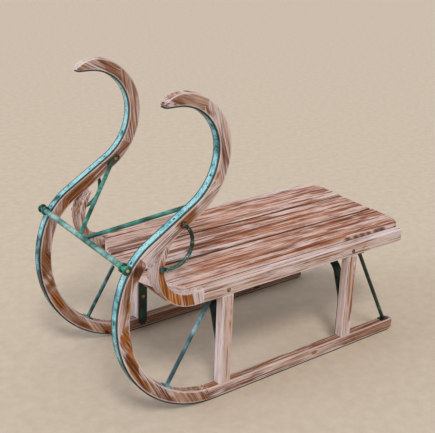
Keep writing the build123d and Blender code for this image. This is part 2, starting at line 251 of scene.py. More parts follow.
def washed_wood(name, bare, stain, wash, groove, cover, grooves=0.6, thickness=0.82, relief=False, fine=1.0):
    """Wire-brushed softwood under a worn white wash. The grain runs along the grain attribute's first axis."""
    s = Shader(bpy.data.materials.new(name))
    marks = s.node("ShaderNodeSeparateColor", {"Color": s.attribute("finish", "Color")}).outputs
    knot = s.node("ShaderNodeSeparateXYZ", {"Vector": s.attribute("knot", "Vector")})
    reach = s.node("ShaderNodeVectorMath", {0: s.attribute("knot", "Vector")}, operation="LENGTH").outputs["Value"]
    around = s.math("DIVIDE", knot_bend, s.math("ADD", 1.0, s.math("POWER", reach, 2.0)))
    bend = s.node("ShaderNodeCombineXYZ", {"Y": s.times(knot.outputs["Y"], around)}).outputs["Vector"]
    straight = s.attribute("grain", "Vector")
    grain = s.node("ShaderNodeVectorMath", {0: straight, 1: bend}, operation="SUBTRACT").outputs["Vector"]

    bands = s.noise(s.mapped(grain, (2.5, 80, 80)), detail=2, roughness=0.5)
    streaks = s.noise(s.mapped(grain, (8, 250 * fine, 250 * fine)), detail=3, roughness=0.6, distortion=0.25)
    brushed = s.noise(s.mapped(grain, (16, 520 * fine, 520 * fine)), detail=2, roughness=0.6)
    fibres = s.noise(s.mapped(grain, (40, 1500, 1500)), detail=1)
    figure = s.rings(s.mapped(grain, (0.10, 1, 1), (0, 0.013, 0.021)), 40, 5)
    blotches = s.noise(s.mapped(grain, (11, 38, 38)), detail=3, roughness=0.6)

    wood = s.ramp(s.blend((bands, 0.6), (figure, 0.12), (streaks, 0.28)), bare)
    amber = s.mix(s.between(streaks, 0.42, 0.58), stain[0], stain[1])
    stained = s.mix(marks["Red"], wood, amber)

    # The wash: where it stays, and where the brush took it out of the grooves and off the edges
    levels = [(streaks, 0.62), (blotches, 0.42), (s.math("SUBTRACT", brushed, 0.5), 0.22)]
    levels.append((s.math("SUBTRACT", marks["Green"], 0.5), 0.42))
    lows = s.under(s.blend((brushed, 1), (streaks, 0.35)), 0.52, 0.64)
    if relief:
        levels.append((s.attribute("relief"), 0.09))
        lows = s.math("MAXIMUM", lows, s.under(s.attribute("relief"), -0.75, -0.25))
    film = s.between(s.blend(*levels), cover - 0.08, cover + 0.10)
    white = s.mix(s.between(bands, 0.4, 0.6), wash[0], wash[1])
    washed = s.mix(s.times(film, thickness), stained, white)
    grooved = s.mix(s.times(lows, grooves), washed, groove)
    worn_and_shaded_edge = s.between(s.blend((s.attribute("wear_and_shade"), 1), (streaks, 0.4)), 0.8, 1.15)
    edged = s.mix(s.times(worn_and_shaded_edge, 0.55), grooved, wash[0])
    # Dark brown by the finish's blue level: dark stains, and painted shade on faces that sit in shade under and
    # between the parts
    shaded = s.mix(s.times(marks["Blue"], 0.85), edged, dark_stain_and_shade)

    rim = s.blend((reach, 1), (blotches, 1.1))
    ringed = s.mix(s.under(rim, 1.4, 2.6), shaded, knot_rim)
    core = s.mix(s.between(streaks, 0.46, 0.60), knot_dark, knot_light)
    knotted = s.mix(s.under(rim, 1.0, 1.6), ringed, core)
    height = s.blend((brushed, 0.5), (fibres, 0.15), (streaks, 0.6))
    return s.finish(knotted, s.blend((0.6, 1), (brushed, 0.3)), height, 0.0018, specular=0.25)


def worn_paint(name, shades, edge, chip, chips_from, metallic=0.0, roughness=0.42, cloud=55, speck=420, olive_from=None):
    """Brushed-on paint over iron: mottled shades, shifted per corner (painted light and shade on the strap and
    crossbar, a darker tone on the ring), dark edges (rubbed iron, with painted shade along the strap's sides), small
    chips, and a dark olive tone above a height.
    """
    s = Shader(bpy.data.materials.new(name))
    place = s.node("ShaderNodeTexCoord").outputs["Object"]
    drifts = s.noise(place, 13, 2, 0.5)
    clouds = s.noise(place, cloud, 4, 0.65)
    specks = s.noise(place, speck, 2, 0.6)
    share = s.blend((clouds, 0.5), (drifts, 0.35), (specks, 0.15), (s.attribute("fade"), 0.2))
    chips = s.between(s.blend((specks, 0.6), (clouds, 0.4)), chips_from, chips_from + 0.04)
    chipped = s.mix(s.times(chips, 0.85), s.ramp(share, shades), chip)
    worn_and_shaded_edge = s.between(s.blend((s.attribute("wear_and_shade"), 1), (clouds, 0.35)), 0.85, 1.1)
    colour = s.mix(s.times(worn_and_shaded_edge, 0.9), chipped, edge)
    # A dark olive tone above a given height, on the braces' flattened top ends
    if olive_from:
        up = s.node("ShaderNodeSeparateXYZ", {"Vector": place}).outputs["Z"]
        colour = s.mix(s.times(s.between(up, olive_from, olive_from + olive_fade), 0.85), colour, dark_olive)
    rough = s.blend((roughness - 0.12, 1), (clouds, 0.3))
    return s.finish(colour, rough, s.blend((clouds, 0.6), (specks, 0.4)), 0.0006, metallic, 0.5)


frame_shades = {0.36: "#67412E", 0.45: "#8A624E", 0.54: "#A68372", 0.64: "#C2A899"}
batten_shades = {0.3: "#3A1B0E", 0.45: "#5A2E18", 0.6: "#7A4526", 0.8: "#8E5B3A"}
seat_shades = {0.36: "#6E3B26", 0.45: "#945F49", 0.54: "#AE8270", 0.64: "#C2A295"}
lilac_wash = ("#DFD3D7", "#CDB8B1")
deep_brushed = {"grooves": 0.72, "thickness": 0.79, "relief": True, "fine": 0.55}
# Bare shades, dark and light stain, wash, groove, the level where the wash starts, and what else differs
woods = {
    "runner_wood": (frame_shades, ("#63310F", "#AA7040"), lilac_wash, "#4C2D1D", 0.55, {}),
    "rail_wood": (frame_shades, ("#8A4A14", "#BC7A30"), lilac_wash, "#5C3826", 0.50, {}),
    "post_wood": (frame_shades, ("#9A5212", "#C98A3C"), lilac_wash, "#6A4535", 0.50, {}),
    "batten_wood": (batten_shades, ("#7A3D10", "#9A5C22"), ("#A98C78", "#8E6A52"), "#2B140B", 0.66, {}),
    "seat_wood": (seat_shades, ("#7E4222", "#B06C3C"), ("#DDCDCB", "#CDB3AA"), "#582E1D", 0.52, deep_brushed),
}
# Shades from dark to light; edge colour (rubbed iron, and on the strap painted shade too), chip and the level where
# chips start; and what else differs
paints = {
    "strap_iron": (
        {0.42: "#0B3238", 0.47: "#2C6E77", 0.52: "#67ADB7", 0.59: "#98CBD3"},
        ("#0C1C1B", "#163230", 0.575), {"speck": 250},
    ),
    "bar_iron": (
        {0.40: "#12423B", 0.47: "#2C625A", 0.53: "#50847E", 0.61: "#8FB4AF"},
        ("#0C1C1B", "#1D3F3A", 0.60), {"cloud": 30},
    ),
    "collar_iron": (
        {0.40: "#041D18", 0.48: "#0A3A31", 0.56: "#145C4E", 0.66: "#3B9482"},
        ("#04120F", "#08201A", 0.62), {},
    ),
    "rod_iron": (
        {0.41: "#05332C", 0.47: "#0F5044", 0.53: "#1F6C61", 0.61: "#5F9F9A"},
        ("#0D2A26", "#1A2E33", 0.62), {"cloud": 26, "olive_from": 0.441},
    ),
    "stay_iron": (
        {0.41: "#091B1F", 0.47: "#1A3E46", 0.53: "#3A6670", 0.61: "#86A9B4"},
        ("#061412", "#8FB3BE", 0.67), {"cloud": 26},
    ),
    "stay_dark_iron": (
        {0.41: "#081210", 0.47: "#0F2A25", 0.53: "#1C453C", 0.60: "#3F7F70"},
        ("#061412", "#5C9C90", 0.66), {"cloud": 26},
    ),
    "ring_iron": (
        {0.38: "#121917", 0.46: "#2E4F48", 0.54: "#4C8A7C", 0.61: "#9CC4BB"},
        ("#161B1A", "#C6CFCC", 0.60), {"cloud": 90},
    ),
    "cross_iron": (
        {0.40: "#020A08", 0.48: "#072019", 0.56: "#0E3F33", 0.68: "#257262"},
        ("#04100D", "#2F6B57", 0.70), {"roughness": 0.38},
    ),
    "bolt_brass": (
        {0.38: "#4A3A1A", 0.47: "#8C6E35", 0.55: "#C9A557", 0.64: "#E3C981"},
        ("#2A2016", "#1A130C", 0.66), {"metallic": 0.6, "cloud": 300, "speck": 1200},
    ),
    "bolt_iron": (
        {0.36: "#1B1715", 0.47: "#453A31", 0.57: "#857361", 0.70: "#B8A48C"},
        ("#A8AAA4", "#5E4A33", 0.64), {"metallic": 0.5, "roughness": 0.45, "cloud": 300, "speck": 1200},
    ),
}
finishes = {}
for name, (*recipe, extra) in woods.items():
    finishes[name] = washed_wood(name, *recipe, **extra)
for name, (shades, worn, extra) in paints.items():
    finishes[name] = worn_paint(name, shades, *worn, **extra)


# Mesh helpers
def placed(name, data):
    """A new object in the studio."""
    thing = bpy.data.objects.new(name, data)
    studio.collection.objects.link(thing)
    return thing


def finished(bm, name, slot, node=None, finish=None):
    """Make the mesh an object that rides with the sleigh, stands for its CAD node and takes its finish."""
    bmesh.ops.recalc_face_normals(bm, faces=bm.faces)
    for face in bm.faces:
        face.smooth = True
    mesh = bpy.data.meshes.new(name)
    bm.to_mesh(mesh)
    bm.free()
    mesh.set_sharp_from_angle(angle=radians(sharp_from))
    mesh.materials.append(finishes[finish or slot])
    piece = placed(name, mesh)
    even = piece.modifiers.new("even_shading", "WEIGHTED_NORMAL")
    even.keep_sharp = True
    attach(piece, "root")
    if node:
        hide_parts(node)
    return piece


def ray(angle):
    """One metre in the side plane, at an angle above +X."""
    return Vector((cos(angle), 0, sin(angle)))


def aside(angle):
    """One metre to the left of that ray."""
    return Vector((-sin(angle), 0, cos(angle)))


def clamp(value, low=0.0, high=1.0):
    return max(low, min(high, value))


def trace(start, heading, steps, counts, offset=0.0):
    """Points along tangent lines and arcs in the side plane, shifted to the line's left by offset."""
    angle = radians(heading)
    point = start + aside(angle) * offset
    points = [point]
    for (size, turn), count in zip(steps, counts):
        if turn == 0:
            stride = ray(angle) * size / count
            points += [point + stride * (i + 1) for i in range(count)]
        else:
            bend = 1 if turn > 0 else -1
            centre = point + aside(angle) * bend * (size - bend * offset)
            spoke = point - centre
            for i in range(count):
                swing = Matrix.Rotation(-radians(turn) * (i + 1) / count, 3, "Y")
                points.append(centre + swing @ spoke)
            angle += radians(turn)
        point = points[-1]
    return points


def layer(bm, name):
    """A number kept at each corner of the mesh under this name."""
    layers = bm.verts.layers.float
    return layers.get(name) or layers.new(name)


def rounded(bm, geom, radius, affect):
    """Round corners (VERTICES) or edges (EDGES) in two steps."""
    bmesh.ops.bevel(
        bm, geom=geom, offset=radius, offset_type="OFFSET", segments=2, profile=0.5, affect=affect, material=-1
    )


def grow(bm, edges):
    """Extrude a rim on the spot; the new rim's corners and edges."""
    made = bmesh.ops.extrude_edge_only(bm, edges=edges)["geom"]
    verts = [g for g in made if isinstance(g, BMVert)]
    rim = set(verts)
    return verts, [g for g in made if isinstance(g, BMEdge) and set(g.verts) <= rim]


def cut_across(bm, place, normal, dist=1e-6, **settings):
    """Cut the whole mesh along a plane; the edges and corners of the cut."""
    geom = bm.verts[:] + bm.edges[:] + bm.faces[:]
    made = bmesh.ops.bisect_plane(bm, geom=geom, plane_co=place, plane_no=normal, dist=dist, **settings)
    return made["geom_cut"]


def merge(bm, dist):
    """Join corners that share a spot, always into the first made, so that each run leaves the same wear there."""
    bm.verts.index_update()
    spots = {}
    for vert, other in bmesh.ops.find_doubles(bm, verts=bm.verts, dist=dist)["targetmap"].items():
        spots.setdefault(other, [other]).append(vert)
    joins = {}
    for verts in spots.values():
        first, *rest = sorted(verts, key=lambda vert: vert.index)
        joins.update({vert: first for vert in rest})
    bmesh.ops.weld_verts(bm, targetmap=joins)


def add_part(bm, part):
    """Put another mesh in with this one; its new faces."""
    mesh = bpy.data.meshes.new("part")
    part.to_mesh(mesh)
    part.free()
    before = len(bm.faces)
    bm.from_mesh(mesh)
    bpy.data.meshes.remove(mesh)
    bm.faces.ensure_lookup_table()
    return bm.faces[before:]


def oblong(depth, width):
    """Corners of a plain rectangular profile."""
    return [(0, -width / 2), (depth, -width / 2), (depth, width / 2), (0, width / 2)]


def section(corners, radius, spacing):
    """A closed profile with rounded corners, each (depth, y), and extra points along its long sides."""
    bm = bmesh.new()
    depth = max(corner[0] for corner in corners)
    verts = [bm.verts.new((0, y, d)) for d, y in corners]
    bm.faces.new(verts)
    rounded(bm, verts, radius, "VERTICES")
    wear_and_shade = layer(bm, "wear_and_shade")
    for vert in bm.verts:
        vert[wear_and_shade] = 1.0
    for edge in list(bm.edges):
        cuts = int(edge.calc_length() / spacing)
        if edge.calc_length() > 2 * radius and cuts:
            for made in bmesh.ops.subdivide_edges(bm, edges=[edge], cuts=cuts)["geom_inner"]:
                if isinstance(made, BMVert):
                    made[wear_and_shade] = 0.0
    share = layer(bm, "share")
    across = layer(bm, "across")
    layer(bm, "along")
    for vert in bm.verts:
        vert[share] = vert.co.z / depth
        vert[across] = vert.co.y
    return bm


def sweep(bm, lows, highs, shares=None, chamfer=0.0012):
    """Carry the profile along pairs of points, its depth running from the low line to the high one."""
    share, across, along = (layer(bm, name) for name in ("share", "across", "along"))
    last = len(lows) - 1

    def place(verts, i, distance):
        low, high = lows[i], highs[i]
        inset = 2 * chamfer / (high - low).length if i in (0, last) else 0.0
        for vert in verts:
            part = shares(i, vert[share], vert[across]) if shares else vert[share]
            spot = low.lerp(high, 0.5 + (part - 0.5) * (1 - inset))
            vert.co = (spot.x, spot.y + vert[across] * (1 - inset), spot.z)
            vert[along] = distance

    place(bm.verts, 0, 0.0)
    edges = list(bm.edges)
    distance = 0.0
    for i in range(1, last + 1):
        distance += (lows[i] - lows[i - 1]).length
        verts, edges = grow(bm, edges)
        place(verts, i, distance)
    bmesh.ops.edgeloop_fill(bm, edges=edges)
    return bm


def patch_pull(patch, co, up):
    """How strongly a stained, washed or dark patch shows at a point: 1 in its middle, 0 beyond its rim."""
    x, height, length, width, heading = patch[:5]
    angle = radians(heading)
    fore = co.x - x
    above = co[up] - height
    along = (fore * cos(angle) + above * sin(angle)) / length
    across = (above * cos(angle) - fore * sin(angle)) / width
    rim = hypot(along, across) + 0.5 * noise.noise(co * 55)
    return clamp((1.2 - rim) / 0.4)


def lay_grain(bm, planks, seed, tint=None, patches=(), knots=(), up=2):
    """Write where each corner lies in its own plank, how stained, washed and dark it is (dark stains, and painted
    shade where the tints put it), and the nearest knot.
    """
    bmesh.ops.recalc_face_normals(bm, faces=bm.faces)
    along = bm.verts.layers.float.get("along")
    grain = bm.loops.layers.float_vector.new("grain")
    knot = bm.loops.layers.float_vector.new("knot")
    finish = bm.loops.layers.float_color.new("finish")
    pulls = {vert: [(patch[5:], patch_pull(patch, vert.co, up)) for patch in patches] for vert in bm.verts}
    for face in bm.faces:
        place = sum(vert[along] for vert in face.verts) / len(face.verts) if along else 0.0
        index = max(i for i, plank in enumerate(planks) if plank[0] <= place + 1e-6)
        heading, own = planks[index][1:]
        fore, rise = ray(radians(heading)), aside(radians(heading))
        shift = Vector((seed * 1.37 + index * 3.1, seed * 0.217 + index * 0.13, seed * 0.131 + index * 0.07))
        middle = face.calc_center_median()
        near = min(knots, key=lambda row: (Vector(row[0]) - middle).length, default=None)
        base = {"stain": 0.0, "wash": 0.5, "dark": 0.0, **own, **(tint(face.normal, middle) if tint else {})}
        for loop in face.loops:
            co = loop.vert.co
            loop[grain] = Vector((co.dot(fore), co.dot(rise), co.y)) + shift
            loop[knot] = (9, 9, 9)
            if near:
                away = co - Vector(near[0])
                loop[knot] = Vector((0.55 * away.dot(fore), away.dot(rise), 0)) / near[1]
            levels = [base["stain"], base["wash"], base["dark"]]
            for goals, pull in pulls[loop.vert]:
                for i, goal in enumerate(goals):
                    if pull and goal is not None:
                        levels[i] += (goal - levels[i]) * pull
            loop[finish] = (*levels, 1.0)


def lathe(profile, centre, axis, count=24):
    """Turn a profile of (distance along the axis, radius) about a line through centre."""
    bm = bmesh.new()
    layer(bm, "wear_and_shade")
    axis = Vector(axis).normalized()
    out = axis.orthogonal().normalized()
    verts = [bm.verts.new(Vector(centre) + axis * a + out * r) for a, r in profile]
    edges = [bm.edges.new(pair) for pair in zip(verts, verts[1:])]
    whole = {"angle": 2 * pi, "use_merge": True, "use_duplicate": False}
    bmesh.ops.spin(bm, geom=verts + edges, cent=Vector(centre), axis=axis, steps=count, **whole)
    bmesh.ops.remove_doubles(bm, verts=bm.verts, dist=1e-6)
    return bm


def rod(points, radii, count):
    """A round rod through points that all lie in one side plane."""
    bm = bmesh.new()
    layer(bm, "wear_and_shade")
    ring = bmesh.ops.create_circle(bm, cap_ends=False, radius=1.0, segments=count)["verts"]
    unit = {vert: vert.co.copy() for vert in ring}
    edges = first = list(bm.edges)
    for i, (point, radius) in enumerate(zip(points, radii)):
        if i:
            verts, edges = grow(bm, edges)
            unit = {v: unit[min(unit, key=lambda old: (old.co - v.co).length_squared)] for v in verts}
        run = (points[min(i + 1, len(points) - 1)] - points[max(i - 1, 0)]).normalized()
        thin = Vector((0, 1, 0))
        thin = (thin - run * thin.dot(run)).normalized()
        wide = run.cross(thin)
        for vert, spot in unit.items():
            vert.co = point + wide * spot.x * radius + thin * spot.y * radius
    bmesh.ops.edgeloop_fill(bm, edges=first)
    bmesh.ops.edgeloop_fill(bm, edges=edges)
    return bm


def block(low, high, radius, spacing):
    """A block with rounded edges, cut across so that its finish can vary."""
    bm = bmesh.new()
    bmesh.ops.create_cube(bm, size=1.0)
    size = high - low
    bmesh.ops.scale(bm, verts=bm.verts, vec=size)
    bmesh.ops.translate(bm, verts=bm.verts, vec=(low + high) / 2)
    wear_and_shade = layer(bm, "wear_and_shade")
    rounded(bm, bm.edges[:], radius, "EDGES")
    for axis in range(3):
        count = int(size[axis] / spacing)
        for i in range(1, count + 1):
            spot = low.copy()
            spot[axis] += size[axis] * i / (count + 1)
            cut_across(bm, spot, Matrix.Identity(3)[axis])
    margin = 1.5 * radius
    for vert in bm.verts:
        inside = [low[a] + margin < vert.co[a] < high[a] - margin for a in range(3)]
        vert[wear_and_shade] = 0.0 if sum(inside) >= 2 else 1.0
    return bm


# Runners
beak_top = trace(line_start, 0, line_steps + [(hook_tight_radius, -30)], line_counts + [8], runner_depth)[-1]
inner_steps = line_steps + [(hook_radius, -30), (hook_reach, 0)]
counts = line_counts + [8, 6]
hook_inner_end = trace(line_start, 0, inner_steps, counts)[-1]
beak_run = hook_inner_end.x - beak_top.x
beak_drop = beak_top.z - (hook_inner_end.z + beak_end)
beak_radius = (beak_run**2 + beak_drop**2) / (2 * beak_drop)
beak_turn = -2 * degrees(atan2(beak_drop, beak_run))
outer_steps = line_steps + [(hook_tight_radius, -30), (beak_radius - runner_depth, beak_turn)]

# Each runner is glued up from planks, so that the grain follows the curve: start along it, grain heading, finish
runner_planks = {
    "left": [
        (0.0, 0, {"wash": 0.58}),
        (0.583, 62, {"wash": 0.62}),
        (0.930, 98, {}),
        (1.085, 146, {"wash": 0.60}),
        (1.300, 75, {"wash": 0.64}),
        (1.455, 22, {"wash": 0.54}),
    ],
    "right": [
        # The right runner's base plank is browner and darkened as painted shade under the seat
        (0.0, 0, {"stain": 0.35, "wash": 0.36, "dark": 0.12}),
        (0.600, 58, {}),
        (0.965, 96, {}),
        (1.100, 142, {}),
        (1.290, 82, {"wash": 0.42}),
        (1.450, 28, {"wash": 0.47}),
    ],
}
# Patches: x, height (y on the seat), length, width, heading; stain, wash and dark, None where left alone
runner_patches = {
    "left": [
        (0.389, 0.220, 0.020, 0.015, 80, 1.0, 0.1, 0.1),
        (0.380, 0.164, 0.030, 0.014, 72, 1.0, 0.12, None),
        (0.352, 0.102, 0.042, 0.006, 60, 1.0, 0.1, None),
        (0.386, 0.283, 0.026, 0.005, 82, 0.9, 0.2, 0.2),
        (0.363, 0.353, 0.014, 0.015, 100, 0.9, 0.0, 0.9),
        (0.310, 0.048, 0.026, 0.018, 40, None, 0.50, None),
        (0.240, 0.020, 0.055, 0.024, 10, None, 0.28, None),
        (0.197, 0.012, 0.010, 0.016, 0, 0.7, 0.3, 0.2),
        (0.110, 0.012, 0.050, 0.008, 0, 0.3, 0.42, None),
        (0.256, 0.444, 0.024, 0.018, 145, 0.9, 0.15, None),
        (0.276, 0.684, 0.030, 0.012, 10, 0.12, 0.42, 0.1),
        (0.318, 0.670, 0.012, 0.006, -40, 0.5, 0.2, 0.45),
        (0.296, 0.676, 0.012, 0.004, 60, None, 0.8, None),
        (0.276, 0.680, 0.013, 0.006, 40, 0.4, 0.2, 0.4),
        (0.220, 0.655, 0.030, 0.006, 30, 0.3, 0.4, None),
        (0.189, 0.520, 0.010, 0.007, 120, 0.8, 0.2, None),
        (-0.300, 0.020, 0.080, 0.030, 0, 0.45, 0.28, 0.1),
    ],
    "right": [
        (0.398, 0.222, 0.052, 0.026, 87, 0.8, 0.0, 0.5),
        (0.392, 0.205, 0.010, 0.022, 65, 0.5, 0.7, 0.1),
        (0.373, 0.138, 0.030, 0.018, 65, 1.0, 0.1, None),
        (0.300, 0.048, 0.050, 0.009, 40, 0.9, 0.2, None),
        (0.242, 0.013, 0.022, 0.018, 0, 0.9, 0.1, 0.2),
        (0.315, 0.398, 0.050, 0.030, 145, 0.9, 0.15, 0.15),
        (0.219, 0.654, 0.050, 0.007, 45, 0.5, 0.2, 0.15),
        (0.180, 0.560, 0.030, 0.008, 95, 0.5, 0.2, None),
    ],
}
# Each knot's place and radius
runner_knots = {
    "left": [((0.3880, 0.184, 0.204), 0.0080), ((-0.120, 0.184, 0.018), 0.0035)],
    "right": [((0.243, -0.162, 0.016), 0.0065), ((0.300, -0.184, 0.640), 0.0040)],
}
base_top = 0.040
base_front = 0.2
hook_bottom = 0.6
hook_pale_from = 0.26
# Painted light and shade on the strap: darker low on the bow, lighter up the neck, darker again over the hook
strap_shade_low, strap_light_from, strap_light_high = -0.22, 0.34, 0.20
strap_shade_hook = 0.62
tip_length = 0.012


def runner_tint(normal, place):
    """The runner's sides are greyed with wash; its top and back faces are browner, and the base's inner side is
    browner and darkened as painted shade under the seat.
    """
    # Painted shade: the base's inner side, under the seat, is darkened
    if normal.y * place.y < -0.1 and place.z < base_top and place.x < base_front:
        return {"stain": 0.45, "wash": 0.24, "dark": 0.32}
    if abs(normal.y) > looks:
        return {}
    if place.z < base_top and normal.z > looks and place.x < base_front:
        return {"stain": 0.5, "wash": 0.42}
    if place.z > hook_bottom and place.x > hook_pale_from:
        return {"stain": 0.05, "wash": 0.95}
    return {"stain": 0.15}


for side, sign in sides.items():
    start = line_start + Vector((0, sign * runner_mid, 0))
    inner_line = trace(start, 0, inner_steps, counts)
    bm = section(oblong(runner_depth, runner_width), runner_round, runner_spacing)
    sweep(bm, inner_line, trace(start, 0, outer_steps, counts, runner_depth))
    seed = 1 if sign > 0 else 2
    lay_grain(bm, runner_planks[side], seed, runner_tint, runner_patches[side], runner_knots[side])
    finished(bm, "runner_wood_" + side, "runner_wood", "runner_" + side)

    bm = section(oblong(strap_thickness, strap_width), strap_round, strap_spacing)
    sweep(bm, trace(start, 0, inner_steps, counts, -strap_thickness), inner_line, None, strap_round)
    wear_and_shade = layer(bm, "wear_and_shade")
    fade = layer(bm, "fade")
    # The strap's rims and tip are dark: rubbed bare iron, with painted shade along its sides; above, painted light
    # and shade by height
    for vert in bm.verts:
        at_rim = abs(vert.co.y - sign * runner_mid) > strap_width / 2 - strap_rim
        at_tip = vert.co.z > hook_bottom and vert.co.x > hook_inner_end.x - tip_length
        vert[wear_and_shade] = 1.0 if at_rim or at_tip else 0.0
        vert[fade] = clamp(4.0 * (vert.co.z - strap_light_from), strap_shade_low, strap_light_high)
        if vert.co.z > strap_shade_hook:
            vert[fade] = max(-0.3, strap_light_high - 5.0 * (vert.co.z - strap_shade_hook))
    finished(bm, "strap_" + side, "strap_iron", "runner_strap_" + side)

# Rails: a beam with the seat's rabbet, running into the curl, whose plank has its grain upright
curl_centre = Vector((curl_start_x, 0, rail_bottom + curl_radius))
curl_inner_centre = Vector((curl_inner_start_x, 0, rail_top + curl_inner_radius))
neck_back = trace(line_start, 0, line_steps[:3], line_counts[:3], runner_depth)[-1]
neck_normal = -aside(radians(90 + bow_rise + waist_turn))
shelf_share = (seat_low.z - rail_bottom) / rail_depth
beam_run = [rail_low.x + (curl_joint_x - rail_low.x) * i / rail_cuts for i in range(rail_cuts + 1)]
lows = [Vector((x, 0, rail_bottom)) for x in beam_run]
highs = [Vector((x, 0, rail_top)) for x in beam_run]
for share in (1 / 3, 2 / 3, 1.0):
    lows.append(Vector((curl_joint_x + (curl_start_x - curl_joint_x) * share, 0, rail_bottom)))
    highs.append(Vector((curl_joint_x + (curl_inner_start_x - curl_joint_x) * share, 0, rail_top)))
inner_last = radians(curl_inner_turn - 90)
corner = curl_inner_centre + ray(inner_last) * curl_inner_radius
front_wall = degrees(asin((rabbet_front_x - curl_start_x) / curl_radius))
turns = [front_wall * i / 4 for i in range(1, 5)] + [front_wall + 0.1]
turns += [front_wall + (curl_turn - front_wall) * i / curl_cuts for i in range(1, curl_cuts + 1)]
wall_index = len(lows) + 3
for turn in turns:
    lows.append(curl_centre + ray(radians(turn - 90)) * curl_radius)
    inner_angle = radians(turn * curl_inner_last_turn / curl_turn - 90)
    if inner_angle <= inner_last:
        highs.append(curl_inner_centre + ray(inner_angle) * curl_inner_radius)
    else:
        highs.append(corner + aside(inner_last) * curl_inner_radius * (inner_angle - inner_last) * 1.6)

shelf_drop = 0.004
joint_band = 0.026
band_top = rail_bottom + 0.040
amber_top = 0.345
amber_fade = 0.03
curl_pale_from = 0.26


def curl_tint(normal, place):
    """Behind the joint the beam is washed, its rabbet shelf under the boards painted dark as shade; the curl's side
    is amber and its curved faces are pale above.
    """
    if place.x < curl_joint_x:
        # Painted shade: the rabbet shelf's top, under the boards, is darkened
        if normal.z > looks and place.z < rail_top - shelf_drop:
            return {"dark": 0.8, "wash": 0.1}
        return {"wash": 0.54, "stain": 0.12}
    if place.x < curl_joint_x + joint_band and place.z < band_top:
        return {"wash": 0.72, "stain": 0.15}
    if place.y < 0:
        return {"stain": 0.40, "wash": 0.46, "dark": 0.10}
    if abs(normal.y) > looks:
        height = clamp((place.z - amber_top) / amber_fade)
        return {"stain": 0.95 - 0.5 * height, "wash": 0.26 + 0.5 * height, "dark": 0.1}
    if normal.dot(place - curl_centre) < 0:
        return {"wash": 0.75, "stain": 0.1}
    height = place.z - curl_pale_from
    return {"wash": min(1.2, 0.3 + 9 * height), "stain": max(0.1, 0.8 - 8 * height)}


rail_planks = [(0.0, 0, {}), (curl_joint_x - rail_low.x - 1e-4, 80, {})]
rail_patches = [
    (0.305, 0.300, 0.020, 0.030, 70, None, None, 0.25),
    (-0.120, 0.262, 0.060, 0.006, 0, 0.5, 0.4, None),
    (-0.330, 0.262, 0.070, 0.020, 0, None, 0.75, None),
]
for side, sign in sides.items():
    middle = Vector((0, sign * rail_mid, 0))
    inside = -sign * rail_width / 2
    outside = sign * rail_width / 2
    shelf = outside - sign * shelf_width
    shelf_z = shelf_share * rail_depth
    beam = [(0, inside), (0, outside), (rail_depth, outside), (rail_depth, shelf)]
    bm = section(beam + [(shelf_z, shelf), (shelf_z, inside)], rail_round, rail_spacing)

    def rabbet(i, share, across):
        """Keeps the rabbet's shelf level into the curl, and closes the rabbet in front of the boards."""
        level = (seat_low.z - lows[i].z) / (highs[i].z - lows[i].z) if i <= wall_index else 1.0
        on_shelf = (shelf - across) * sign > -1e-5
        if on_shelf and share <= shelf_share + 1e-5:
            return share * level / shelf_share
        if on_shelf or (i > wall_index and (shelf + sign * (rail_round + 1e-5) - across) * sign > 0 and share > 0.5):
            return 1.0 if i > wall_index else level + (share - shelf_share) * (1 - level) / (1 - shelf_share)
        return share

    sweep(bm, [p + middle for p in lows], [p + middle for p in highs], rabbet)
    cut = cut_across(bm, neck_back, neck_normal, clear_outer=True)
    bmesh.ops.edgeloop_fill(bm, edges=[g for g in cut if isinstance(g, BMEdge)])
    merge(bm, 1e-5)
    lay_grain(bm, rail_planks, 3 if sign > 0 else 4, curl_tint, rail_patches)
    finished(bm, "rail_wood_" + side, "rail_wood", "rail_" + side)


# Posts and battens
post_bottom = 0.03
foot_wash = 0.03
post_round, post_spacing = 0.0016, 0.006
batten_round, batten_spacing = 0.0012, 0.012


def post_tint(normal, place):
    """A post's front is pale, its whitewash brightened as painted light from the front; its sides tan and its back
    amber; its foot keeps more wash.
    """
    foot = max(0.0, 1.0 - (place.z - post_bottom) / foot_wash)
    # Painted light: the front face is washed paler
    if normal.x > looks:
        return {"wash": 0.9, "stain": 0.0}
    if normal.x < -looks:
        return {"wash": 0.35 + 0.4 * foot, "stain": 0.9}
    return {"wash": (0.80 if place.x > 0 else 0.64) + 0.2 * foot, "stain": 0.1}


for end in ("front", "rear"):
    for side, sign in sides.items():
        name = end + "_" + side
        low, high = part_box("post_" + name)
        low.z = runner_low.z + runner_depth
        high.z = rail_low.z
        bm = block(low, high, post_round, post_spacing)
        # A tan line up the back edge of each side, and two darker ones on the rear posts
        patches = [(low.x + 0.002, 0.170, 0.080, 0.004, 90, 0.9, 0.3, None)]
        if end == "rear":
            for x, z in ((0.007, 0.140), (0.017, 0.190)):
                patches.append((low.x + x, z, 0.070, 0.0035, 90, 0.4, 0.2, 0.3))
        lay_grain(bm, [(0.0, 90, {})], 7 + sign + (4 if end == "rear" else 0), post_tint, patches)
        finished(bm, "post_wood_" + name, "post_wood", "post_" + name)
for index, name in enumerate(("front", "middle", "rear")):
    low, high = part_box("batten_" + name)
    bm = block(low, high, batten_round, batten_spacing)
    lay_grain(bm, [(0.0, 0, {"wash": 0.3})], 21 + index)
    grain = bm.loops.layers.float_vector["grain"]
    turn = Matrix.Rotation(radians(90), 3, "Z")
    for face in bm.faces:
        for loop in face.loops:
            loop[grain] = turn @ loop.vert.co + Vector((index, 0.1 * index, 0))
    finished(bm, "batten_wood_" + name, "batten_wood", "batten_" + name)


